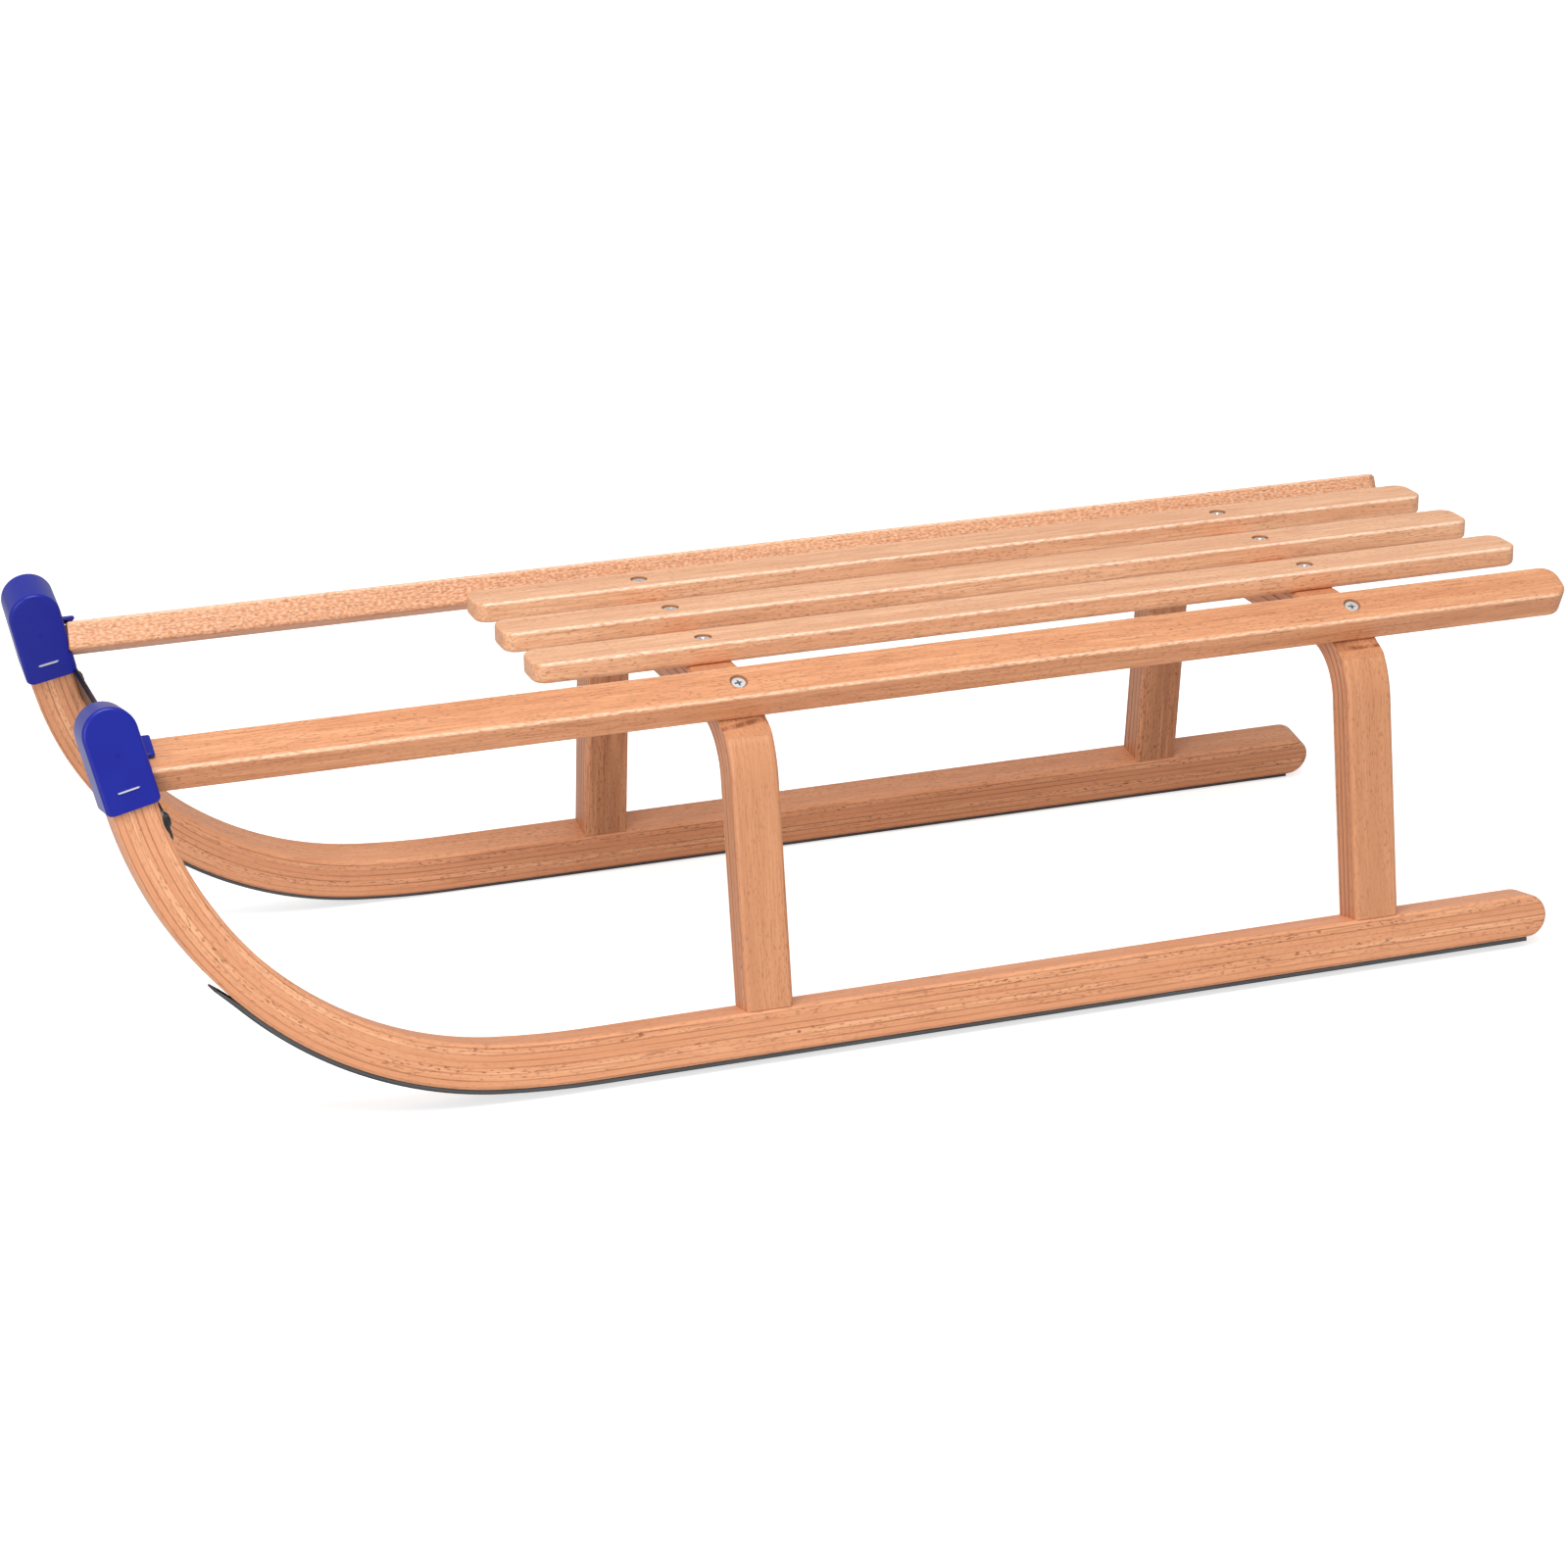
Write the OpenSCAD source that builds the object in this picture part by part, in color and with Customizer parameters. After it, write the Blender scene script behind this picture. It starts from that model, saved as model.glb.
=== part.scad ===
// Davos sled: two bent runners on steel shoes, two bent yokes standing on them,
// three seat slats, two tilted side rails, capped runner tips and a front bow.
// The front points to -X, the left side to -Y, and the ground is at z = 0.

/* [Seat] */
// Height of the seat above the ground
seat_h = 198; // [180:1:220]
// Distance between the yokes, middle to middle
yoke_span = 342; // [300:1:380]
// Reach of the slats in front of the front yoke's middle
slat_front = 94; // [60:1:110]
// Reach of the slats behind the rear yoke's middle
slat_rear = 123; // [80:1:140]
// Width of a slat
slat_w = 27; // [20:1:32]
// Thickness of a slat
slat_t = 11; // [9:0.5:14]
// Distance between neighbouring slats, middle to middle
slat_pitch = 55; // [46:0.5:58]
// Radius of a slat's corners seen from above
slat_corner_r = 8; // [4:0.5:10]
// Rounding along a slat's edges
slat_edge_r = 3; // [1:0.5:4]

/* [Side rails] */
// Width of a side rail
rail_w = 23.5; // [20:0.5:27]
// Thickness of a side rail
rail_t = 15.5; // [12:0.5:17]
// Tilt of a side rail, outer edge down
rail_tilt = 25; // [20:1:32]
// Distance from the middle to a side rail's upper inner edge
rail_y = 101; // [98:1:106]
// How far a side rail's upper inner edge lies below the seat
rail_drop = 1.6; // [0:0.2:3]
// Reach of the side rails behind the rear yoke's middle
rail_rear = 125; // [80:1:140]
// Radius of a side rail's rear corners
rail_corner_r = 9; // [3:0.5:10]
// Rounding along a side rail's edges
rail_edge_r = 3.5; // [1:0.5:4]

/* [Runners] */
// Distance from the middle to a shoe's inner edge on the ground
track_y = 137.4; // [132:0.2:141]
// Width of a runner
runner_w = 23; // [20:1:26]
// Height of a runner's wood
runner_h = 23.2; // [19:0.2:26]
// Lean of the runners, tops inwards
cant = 11; // [8:0.5:12]
// Reach of the runners behind the rear yoke's middle
runner_rear = 101; // [70:1:130]
// Start of the runner's curve in front of the front yoke's middle
curve_front = 91; // [60:1:110]
// Radius of the gentle lead into the curve, on the runner's top face
lead_r = 470; // [350:10:600]
// Angle of the gentle lead into the curve
lead_a = 6; // [3:0.5:8]
// Radius of the curve, on the runner's top face
bend_r = 181; // [170:1:190]
// Angle of the curve
bend_a = 72; // [69:0.5:74]
// Length of the straight tip
tip_l = 50; // [44:1:56]

/* [Runner shoes] */
// Width of a steel shoe
shoe_w = 20; // [14:1:22]
// Thickness of a steel shoe
shoe_t = 2.5; // [1.5:0.5:4]
// Slope of the curve where the shoe ends
shoe_a = 50; // [40:1:60]
// Slope of the curve at the shoe's front screw
shoe_screw_a = 44; // [34:1:44]
// Number of screws along the straight part of a shoe
shoe_screw_n = 5; // [3:1:7]

/* [Yokes] */
// Width of a yoke, along the sled
yoke_w = 25; // [20:1:30]
// Thickness of a yoke
yoke_t = 21.5; // [17:0.5:24]
// Inner radius of a yoke's corners
corner_r = 26.5; // [22:0.5:30]
// Splay of the legs, feet outwards
leg_splay = 8; // [6:0.5:9]

/* [Tip caps] */
// Length of a cap
cap_l = 51; // [44:1:56]
// Wall of a cap
cap_wall = 1.8; // [1.2:0.2:2.4]
// Reach of the lug over the side rail, behind the cap
lug_l = 5; // [3:0.5:8]
// Width of the lug
lug_w = 15; // [10:1:18]
// Crown of a cap's staple
staple_crown = 10.6; // [8:0.2:13]
// Thickness of the staple's wire
staple_wire = 1; // [0.6:0.1:1.4]
// Length of the staple's legs
staple_leg = 8; // [6:0.5:10]
// Distance of the staples from the cap's open edge
staple_up = 10; // [8:0.5:14]

/* [Front bow] */
// Width of the front bow's steel bar
bow_w = 20; // [14:1:24]
// Thickness of the front bow's steel bar
bow_t = 3; // [2:0.5:4]
// Depth of the bar's seat in the runners
bow_seat = 1; // [0.8:0.1:1.6]
// Distance of the bow's middle below the caps' open edges
bow_drop = 12; // [10.5:0.5:16]

/* [Screws] */
// Radius of a countersunk head
head_r = 3.75; // [3:0.05:4]
// Height of a countersunk head
head_h = 2.6; // [2:0.1:3]
// Radius of a screw's shank
shank_r = 1.9; // [1.5:0.05:2.2]
// Depth of the heads below the wood
head_sink = 1; // [0.6:0.1:1.6]
// Radius of the countersunk mouth in the wood
mouth_r = 4.4; // [4.1:0.1:4.8]
// Length of the slat screws
slat_screw_l = 27; // [22:1:28]
// Length of the side rail screws
rail_screw_l = 26; // [22:1:28]
// Length of the screws from a runner up into a leg
leg_screw_l = 50; // [40:1:60]
// Distance between the two screws of a leg
leg_screw_gap = 11; // [9:0.5:13]
// Length of the shoe screws
shoe_screw_l = 16; // [12:1:19]
// Length of the screws from a runner tip into a side rail
tip_screw_l = 45; // [40:1:55]
// Length of the bow screws
bow_screw_l = 18; // [14:1:20]

/* [Hidden] */
$fn = 48;

wood = [0.87, 0.66, 0.48];
steel = [0.16, 0.17, 0.18];
zinc = [0.75, 0.76, 0.78];
blue = [0.18, 0.20, 0.65];

// Gap round a screw or a staple in its hole
hole_gap = 0.1;
// Gap round a runner tip and a side rail inside a cap
cap_gap = 0.3;
// Larger than any cut that it makes
far = 400;
// Overlap that lets a cut run out of a surface
past = 1;

// A shoe's inner edge is the origin of a runner's own frame: a runs across, u runs up.
shoe_inset = (runner_w - shoe_w) / 2;
top_u = runner_h + shoe_t;
curve_x = -(yoke_span / 2 + curve_front);
lead_c = [curve_x, top_u + lead_r];
bend_c = lead_c - (lead_r - bend_r) * [sin(lead_a), cos(lead_a)];
slope = lead_a + bend_a;
function on_bend(a) = bend_c - bend_r * [sin(a), cos(a)];
tip_o = on_bend(slope);
// Middle of the runners' round rear ends
rear_x = yoke_span / 2 + runner_rear - runner_h / 2;
// Flats that a curve is drawn with
lead_steps = 3;
bend_steps = 36;
end_steps = 30;

// Place in the cross-section of a point of the right runner's frame
function side_yz(a, u) = [track_y + a * cos(cant) - u * sin(cant), a * sin(cant) + u * cos(cant)];
mid_a = runner_w / 2 - shoe_inset;
foot = side_yz(mid_a, top_u);
leg_n = [cos(leg_splay), sin(leg_splay)];
yoke_top = seat_h - slat_t;
outer_r = corner_r + yoke_t;
corner_z = yoke_top - outer_r;
corner_y = (foot * leg_n + yoke_t / 2 - outer_r - corner_z * leg_n[1]) / leg_n[0];

// Side rail: its frame starts at the upper inner edge, y across the top face, z out of it
rail_z = seat_h - rail_drop;
rail_mid = [rail_y + rail_w / 2 * cos(rail_tilt) - rail_t / 2 * sin(rail_tilt),
            rail_z - rail_w / 2 * sin(rail_tilt) - rail_t / 2 * cos(rail_tilt)];
rail_end_x = yoke_span / 2 + rail_rear;

// Foremost point of a cap, and the shift that centres the sled on the origin
tip_round = tip_l - runner_h / 2;
cap_round_r = runner_h / 2 + cap_wall;
cap_front_x = tip_o[0] - tip_round * cos(slope) - runner_h / 2 * sin(slope) - cap_round_r;
shift_x = -(cap_front_x + rail_end_x) / 2;

module round_rect(w, h, r) {
    translate([r, 0]) square([w - 2 * r, h]);
    translate([0, r]) square([w, h - 2 * r]);
    for (x = [r, w - r], y = [r, h - r])
        translate([x, y]) circle(r);
}

module frame_of_sled() {
    translate([shift_x, 0, 0]) children();
}

module on_side(side) {
    mirror([0, side < 0 ? 1 : 0, 0]) children();
}

// Frame of the right runner: x along, y across from the shoe's inner edge, z up
module runner_frame() {
    translate([0, track_y, 0]) rotate([cant, 0, 0]) children();
}

// Middle of the lead's circle, and of the curve's circle, turned with the lead
module lead_centre() {
    translate([curve_x, 0, top_u + lead_r]) children();
}

module bend_centre() {
    lead_centre() rotate([0, lead_a, 0]) translate([0, 0, bend_r - lead_r]) children();
}

module bend_frame(a) {
    bend_centre() rotate([0, a - lead_a, 0]) translate([0, 0, -bend_r]) rotate([0, 180, 0]) children();
}

module tip_frame() {
    bend_frame(slope) children();
}

module rail_frame() {
    translate([0, rail_y, rail_z]) rotate([-rail_tilt, 0, 0]) children();
}

// Carries a flat shape drawn across and down along x
module along_x(l) {
    rotate([90, 0, 90]) linear_extrude(l) children();
}

// Points on a circle, from slope a0 to slope a1, straight down being 0 and forwards positive
function arc(c, r, a0, a1, n) = [for (i = [0 : n]) c - r * [sin(a0 + (a1 - a0) * i / n),
                                                           cos(a0 + (a1 - a0) * i / n)]];

// Side view of the curve from slope 0 to slope a, at a depth below the top face
function curve(depth, a) = concat(
    arc(lead_c, lead_r + depth, 0, lead_a, lead_steps),
    arc(bend_c, bend_r + depth, lead_a, a, bend_steps));

function backwards(points) = [for (i = [len(points) - 1 : -1 : 0]) points[i]];

// Carries a side view across the runner
module across(start, wide) {
    translate([0, start + wide, 0]) rotate([90, 0, 0]) linear_extrude(wide) children();
}

// A round end with its axis across the runner
module round_end(r, wide, start) {
    translate([0, start + wide, 0]) rotate([90, 0, 0]) cylinder(h = wide, r = r);
}

// Countersunk wood screw, its head's top at z = 0 and its point down
module screw_body(l, gap) {
    translate([0, 0, -head_h]) cylinder(h = head_h, r1 = shank_r + gap, r2 = head_r + gap);
    translate([0, 0, -l + 2 * shank_r]) cylinder(h = l - head_h - 2 * shank_r + past / 4, r = shank_r + gap);
    translate([0, 0, -l - gap]) cylinder(h = 2 * shank_r + gap, r1 = gap + 0.2, r2 = shank_r + gap);
}

module screw(l) {
    recess = head_r * 0.28;
    difference() {
        screw_body(l, 0);
        for (turn = [0, 90])
            rotate([0, 0, turn]) translate([-head_r * 0.6, -recess / 2, -head_h * 0.6])
                cube([head_r * 1.2, recess, head_h]);
    }
}

// Hole of a screw, with a mouth that runs out of the wood above the head
module screw_hole(l, mouth) {
    screw_body(l, hole_gap);
    cylinder(h = mouth + past, r = mouth_r);
}

module at_slat_screws() {
    for (x = [-yoke_span / 2, yoke_span / 2], y = [-slat_pitch, 0, slat_pitch])
        translate([x, y, seat_h - head_sink]) children();
}

module at_rail_screws() {
    for (x = [-yoke_span / 2, yoke_span / 2], side = [-1, 1])
        on_side(side) rail_frame() translate([x, rail_w / 2, -head_sink]) children();
}

// Screws from under the right runner into the legs, heads in the wood above the shoe
module at_leg_screws() {
    for (x = [-yoke_span / 2, yoke_span / 2], dx = [-leg_screw_gap / 2, leg_screw_gap / 2])
        runner_frame() translate([x + dx, mid_a, shoe_t + head_sink]) rotate([180, 0, 0]) children();
}

// Screws of the right shoe, heads flush with its underside
module at_shoe_screws() {
    first = curve_x + 20;
    last = rear_x - 10;
    step = (last - first) / (shoe_screw_n - 1);
    for (i = [0 : shoe_screw_n - 1])
        runner_frame() translate([first + i * step, mid_a, 0]) rotate([180, 0, 0]) children();
    runner_frame() bend_frame(shoe_screw_a) translate([0, mid_a, top_u]) children();
}

// Screw through the right runner tip into the end of the side rail
tip_u = (rail_mid[1] - mid_a * sin(cant)) / cos(cant);
tip_s = (tip_u - tip_o[1] + runner_h * cos(slope)) / sin(slope);
tip_face_x = tip_o[0] - tip_s * cos(slope) - runner_h * sin(slope);
tip_sink = mouth_r / tan(slope) + head_sink / 2;
module at_tip_screw() {
    translate([tip_face_x + tip_sink, rail_mid[0], rail_mid[1]]) rotate([0, -90, 0]) children();
}

// Frame of the front bow: x up along the tips, y across, z into the right runner's wood
cap_x0 = tip_l + cap_wall - cap_l;
bow_a = slope - (bow_drop - cap_x0) / bend_r * 180 / PI;
bow_u = on_bend(bow_a)[1];
bow_tilt = atan2(sin(bow_a), cos(bow_a) * cos(cant));
bow_mid = side_yz(mid_a, bow_u);
bow_end_y = side_yz(runner_w - shoe_inset, bow_u)[0];
module bow_frame() {
    translate([on_bend(bow_a)[0] - bow_seat * sin(bow_tilt), 0, bow_mid[1] - bow_seat * cos(bow_tilt)])
        rotate([0, 180 + bow_tilt, 0]) children();
}

module at_bow_screws(side) {
    bow_frame() translate([0, side * bow_mid[0], -bow_t]) rotate([180, 0, 0]) children();
}

// Round-headed screw that holds the bow
bow_head_r = 4.2;
bow_head_h = 2.4;
module bow_screw_body(gap) {
    translate([0, 0, -bow_screw_l - gap]) cylinder(h = bow_screw_l + gap, r = shank_r + gap);
}

module at_staples() {
    tip_frame() translate([cap_x0 + staple_up, 0, runner_h / 2]) {
        translate([0, -shoe_inset - cap_gap - cap_wall, 0]) children();
        translate([0, runner_w - shoe_inset + cap_gap + cap_wall, 0]) mirror([0, 1, 0]) children();
    }
}

// Staple lying on a face that looks to -y, with its legs driven to +y
module staple(gap) {
    half = staple_crown / 2;
    translate([-staple_wire / 2 - gap, -staple_wire, -half - gap])
        cube([staple_wire + 2 * gap, staple_wire, 2 * (half + gap)]);
    for (z = [-half, half - staple_wire])
        translate([-staple_wire / 2 - gap, -staple_wire, z - gap])
            cube([staple_wire + 2 * gap, staple_leg + staple_wire + gap, staple_wire + 2 * gap]);
}

// A block with one round end, all round the runner's tip at the given distance
module tip_block(grow, x0) {
    r = runner_h / 2 + grow;
    start = -shoe_inset - grow;
    wide = runner_w + 2 * grow;
    translate([x0, start, -grow]) cube([tip_round - x0, wide, 2 * r]);
    translate([tip_round, 0, runner_h / 2]) round_end(r, wide, start);
}

module runner_wood() {
    r = runner_h / 2;
    tip_end = tip_o - tip_round * [cos(slope), -sin(slope)] - r * [sin(slope), cos(slope)];
    runner_frame() across(-shoe_inset, runner_w) polygon(concat(
        arc([rear_x, top_u - r], r, 180, 360, end_steps),
        curve(runner_h, slope),
        arc(tip_end, r, slope, slope + 180, end_steps),
        backwards(curve(0, slope))));
}

module runner(side) {
    color(wood) frame_of_sled() on_side(side) difference() {
        runner_wood();
        at_leg_screws() screw_hole(leg_screw_l, head_sink);
        at_shoe_screws() screw_body(shoe_screw_l, hole_gap);
        at_tip_screw() screw_hole(tip_screw_l, runner_h);
        at_bow_screws(1) bow_screw_body(hole_gap);
        runner_frame() at_staples() staple(hole_gap);
        bow_frame() translate([-bow_w / 2, 0, -bow_t - bow_seat]) cube([bow_w, far, bow_t + bow_seat]);
    }
}

module runner_shoe(side) {
    color(steel) frame_of_sled() on_side(side) difference() {
        runner_frame() across(0, shoe_w) polygon(concat(
            [[rear_x, shoe_t], [rear_x, 0]],
            curve(runner_h + shoe_t, shoe_a),
            backwards(curve(runner_h, shoe_a))));
        at_shoe_screws() screw_body(shoe_screw_l, hole_gap);
    }
}

module shoe_screws(side) {
    color(zinc) frame_of_sled() on_side(side) at_shoe_screws() screw(shoe_screw_l);
}

module leg_screws(side) {
    color(zinc) frame_of_sled() on_side(side) at_leg_screws() screw(leg_screw_l);
}

// Right half of a yoke's front view, with the corner's circle at the origin
module yoke_profile() {
    difference() {
        union() {
            circle(outer_r, $fn = 96);
            rotate(leg_splay) translate([0, -seat_h]) square([outer_r, seat_h]);
            translate([-corner_y, -seat_h]) square([corner_y, seat_h + outer_r]);
        }
        circle(corner_r, $fn = 96);
        rotate(leg_splay) translate([-far, -far]) square([far + corner_r, far]);
        translate([-far, -far]) square([far, far + corner_r]);
    }
}

module yoke_half() {
    difference() {
        translate([-yoke_w / 2, corner_y, corner_z]) rotate([90, 0, 90])
            linear_extrude(yoke_w) yoke_profile();
        runner_frame() translate([-far / 2, -far / 2, top_u - far]) cube([far, far, far]);
        rail_frame() translate([-far / 2, -past, -rail_t]) cube([far, far, far]);
    }
}

module yoke(x) {
    color(wood) frame_of_sled() difference() {
        translate([x, 0, 0]) {
            yoke_half();
            mirror([0, 1, 0]) yoke_half();
        }
        at_slat_screws() screw_body(slat_screw_l, hole_gap);
        at_rail_screws() screw_body(rail_screw_l, hole_gap);
        for (side = [-1, 1])
            on_side(side) at_leg_screws() screw_body(leg_screw_l, hole_gap);
    }
}

// A flat bar with rounded edges and, at its ends, corners rounded in plan
module flat_bar(x0, x1, wide, thick, edge_r, plan_r) {
    intersection() {
        translate([x0, 0, 0]) along_x(x1 - x0) round_rect(wide, thick, edge_r);
        translate([x0, 0, 0]) linear_extrude(thick) round_rect(x1 - x0, wide, plan_r);
    }
}

module seat_slat(y) {
    color(wood) frame_of_sled() difference() {
        translate([0, y - slat_w / 2, yoke_top])
            flat_bar(-yoke_span / 2 - slat_front, yoke_span / 2 + slat_rear,
                     slat_w, slat_t, slat_edge_r, slat_corner_r);
        at_slat_screws() screw_hole(slat_screw_l, head_sink);
    }
}

module slat_screws() {
    color(zinc) frame_of_sled() at_slat_screws() screw(slat_screw_l);
}

module side_rail(side) {
    color(wood) frame_of_sled() on_side(side) difference() {
        rail_frame() translate([0, 0, -rail_t])
            flat_bar(cap_front_x, rail_end_x, rail_w, rail_t, rail_edge_r, rail_corner_r);
        runner_frame() tip_frame() translate([-far / 2, -far / 2, 0]) cube([far, far, far]);
        at_rail_screws() screw_hole(rail_screw_l, head_sink);
        at_tip_screw() screw_body(tip_screw_l, hole_gap);
    }
}

module rail_screws() {
    color(zinc) frame_of_sled() at_rail_screws() screw(rail_screw_l);
}

module tip_cap(side) {
    color(blue) frame_of_sled() on_side(side) difference() {
        union() {
            runner_frame() tip_frame() difference() {
                tip_block(cap_gap + cap_wall, cap_x0);
                tip_block(cap_gap, cap_x0 - past);
            }
            difference() {
                rail_frame() translate([cap_front_x, 0, cap_gap])
                    cube([tip_o[0] + lug_l + cap_wall - cap_front_x, lug_w, cap_wall]);
                runner_frame() tip_frame() tip_block(cap_gap, cap_x0 - past);
            }
        }
        rail_frame() translate([cap_front_x, -cap_gap, -rail_t - cap_gap])
            cube([far, rail_w + 2 * cap_gap, rail_t + 2 * cap_gap]);
        runner_frame() at_staples() staple(hole_gap);
    }
}

module cap_staples(side) {
    color(zinc) frame_of_sled() on_side(side) runner_frame() at_staples() staple(0);
}

module tip_screws() {
    color(zinc) frame_of_sled() for (side = [-1, 1])
        on_side(side) at_tip_screw() screw(tip_screw_l);
}

module front_bow() {
    round_y = bow_end_y - bow_w / 2;
    color(steel) frame_of_sled() difference() {
        bow_frame() translate([0, 0, -bow_t]) {
            translate([-bow_w / 2, -round_y, 0]) cube([bow_w, 2 * round_y, bow_t]);
            for (y = [-round_y, round_y])
                translate([0, y, 0]) cylinder(h = bow_t, r = bow_w / 2);
        }
        for (side = [-1, 1])
            at_bow_screws(side) bow_screw_body(hole_gap);
    }
}

module bow_screws() {
    color(steel) frame_of_sled() for (side = [-1, 1])
        at_bow_screws(side) {
            bow_screw_body(0);
            cylinder(h = bow_head_h, r = bow_head_r);
        }
}

runner(-1);  // runner_left
runner(1);  // runner_right
runner_shoe(-1);  // runner_shoe_left
runner_shoe(1);  // runner_shoe_right
shoe_screws(-1);  // shoe_screws_left
shoe_screws(1);  // shoe_screws_right
yoke(-yoke_span / 2);  // yoke_front
yoke(yoke_span / 2);  // yoke_rear
leg_screws(-1);  // leg_screws_left
leg_screws(1);  // leg_screws_right
seat_slat(-slat_pitch);  // seat_slat_left
seat_slat(0);  // seat_slat_centre
seat_slat(slat_pitch);  // seat_slat_right
slat_screws();
side_rail(-1);  // side_rail_left
side_rail(1);  // side_rail_right
rail_screws();
tip_cap(-1);  // tip_cap_left
tip_cap(1);  // tip_cap_right
cap_staples(-1);  // cap_staples_left
cap_staples(1);  // cap_staples_right
tip_screws();
front_bow();
bow_screws();
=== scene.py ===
import math

import bmesh
import bpy
import numpy as np
from mathutils import Matrix, Vector


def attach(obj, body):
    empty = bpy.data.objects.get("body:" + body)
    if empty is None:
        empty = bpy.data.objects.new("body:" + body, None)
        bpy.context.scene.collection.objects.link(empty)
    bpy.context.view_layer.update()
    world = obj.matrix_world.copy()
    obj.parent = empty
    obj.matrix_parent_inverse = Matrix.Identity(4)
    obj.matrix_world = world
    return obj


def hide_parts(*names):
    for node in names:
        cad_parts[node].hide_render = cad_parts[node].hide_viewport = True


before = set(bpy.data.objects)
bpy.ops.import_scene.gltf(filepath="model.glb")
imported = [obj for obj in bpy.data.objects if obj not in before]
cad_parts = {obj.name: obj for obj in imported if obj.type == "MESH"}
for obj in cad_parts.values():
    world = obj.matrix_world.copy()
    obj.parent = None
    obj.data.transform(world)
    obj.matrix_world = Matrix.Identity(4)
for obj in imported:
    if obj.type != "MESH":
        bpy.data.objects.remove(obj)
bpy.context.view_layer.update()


# ---------------------------------------------------------------- the room
# A plain white studio: a matt floor that keeps the sled's soft shadow, a white surround,
# a wide soft box overhead and a fill beside the camera.

ambient, shiny_share = 0.47, 0.25            # the surround's strength as light, and in reflections
floor_half, floor_lift = 30, 0.66            # metres, and the share of white that the camera adds


def srgb(code):
    """The linear colour of an sRGB hex value."""
    parts = [int(code[i:i + 2], 16) / 255 for i in (0, 2, 4)]
    return tuple(p / 12.92 if p <= 0.04045 else ((p + 0.055) / 1.055) ** 2.4
                 for p in parts) + (1.0,)


def add(tree, kind, inputs=None, **settings):
    """Adds a node. An input, by number or name, is a value, a socket or a node's first output."""
    made = tree.nodes.new(kind)
    for key, value in settings.items():
        setattr(made, key, value)
    for key, value in (inputs or {}).items():
        if isinstance(value, bpy.types.Node):
            value = value.outputs[0]
        if isinstance(value, bpy.types.NodeSocket):
            tree.links.new(value, made.inputs[key])
        else:
            made.inputs[key].default_value = value
    return made


def new_material(name):
    made = bpy.data.materials.new(name)
    made.use_nodes = True
    made.node_tree.nodes.clear()
    return made, made.node_tree


def mesh_piece(name, points, faces=(), edges=()):
    """A mesh object from world points in metres."""
    mesh = bpy.data.meshes.new(name)
    mesh.from_pydata([tuple(p) for p in points], edges, faces)
    made = bpy.data.objects.new(name, mesh)
    scene.collection.objects.link(made)
    return made


scene = bpy.context.scene
scene.view_settings.view_transform = "Standard"

world = bpy.data.worlds.new("white_surround")
scene.world = world
world.use_nodes = True
tree = world.node_tree
tree.nodes.clear()
path = add(tree, "ShaderNodeLightPath")
shiny = add(tree, "ShaderNodeMath", {0: path.outputs["Is Glossy Ray"], 1: shiny_share},
            operation="MULTIPLY")
seen = add(tree, "ShaderNodeMath", {0: path.outputs["Is Camera Ray"], 1: shiny},
           operation="MAXIMUM")
level = add(tree, "ShaderNodeMapRange", {0: seen, 3: ambient, 4: 1.0})
sky = add(tree, "ShaderNodeBackground", {"Color": srgb("FFFFFF"), "Strength": level})
add(tree, "ShaderNodeOutputWorld", {"Surface": sky})

floor = mesh_piece("floor", [(x * floor_half, y * floor_half, 0)
                             for x, y in ((-1, -1), (1, -1), (1, 1), (-1, 1))], [(0, 1, 2, 3)])
floor_paint, tree = new_material("matt_white_floor")
path = add(tree, "ShaderNodeLightPath")
matt = add(tree, "ShaderNodeBsdfDiffuse", {"Color": srgb("E0E0E0")})
lift = add(tree, "ShaderNodeMath", {0: path.outputs["Is Camera Ray"], 1: floor_lift},
           operation="MULTIPLY")
glow = add(tree, "ShaderNodeEmission", {"Color": srgb("FFFFFF"), "Strength": lift})
both = add(tree, "ShaderNodeAddShader", {0: matt, 1: glow})
add(tree, "ShaderNodeOutputMaterial", {"Surface": both})
floor.data.materials.append(floor_paint)

for name, place, aim_at, size, power in (
        ("soft_box_overhead", (-0.45, -1.0, 2.5), (0, 0, 0.1), 1.5, 49),
        ("fill_by_camera", (-2.3, -2.1, 0.85), (0, 0, 0.1), 1.6, 30)):
    lamp = bpy.data.lights.new(name, "AREA")
    lamp.size = size
    lamp.energy = power
    lamp_object = bpy.data.objects.new(name, lamp)
    lamp_object.location = place
    to_aim = Vector(aim_at) - Vector(place)
    lamp_object.rotation_euler = to_aim.to_track_quat("-Z", "Y").to_euler()
    scene.collection.objects.link(lamp_object)

# The camera stands where the photograph was taken from. Its focal length is in image pixels.
camera_place, focal, image_w, sensor_w = (-0.6791, -1.9432, 0.8316), 4134.4, 1600, 36
yaw, pitch, roll = (math.radians(a) for a in (19.1, 19.809, -0.894))
ahead = Vector((math.sin(yaw) * math.cos(pitch), math.cos(yaw) * math.cos(pitch),
                -math.sin(pitch)))
right = Vector((math.cos(yaw), -math.sin(yaw), 0))
up = right.cross(ahead)
camera_x = right * math.cos(roll) + up * math.sin(roll)
camera_y = up * math.cos(roll) - right * math.sin(roll)
camera = bpy.data.objects.new("camera", bpy.data.cameras.new("camera"))
camera.data.sensor_width = sensor_w
camera.data.lens = focal / image_w * sensor_w
camera.data.clip_start, camera.data.clip_end = 0.05, 100
camera.matrix_world = Matrix.Translation(camera_place) @ Matrix(
    (camera_x, camera_y, -ahead)).transposed().to_4x4()
scene.collection.objects.link(camera)
scene.camera = camera


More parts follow.
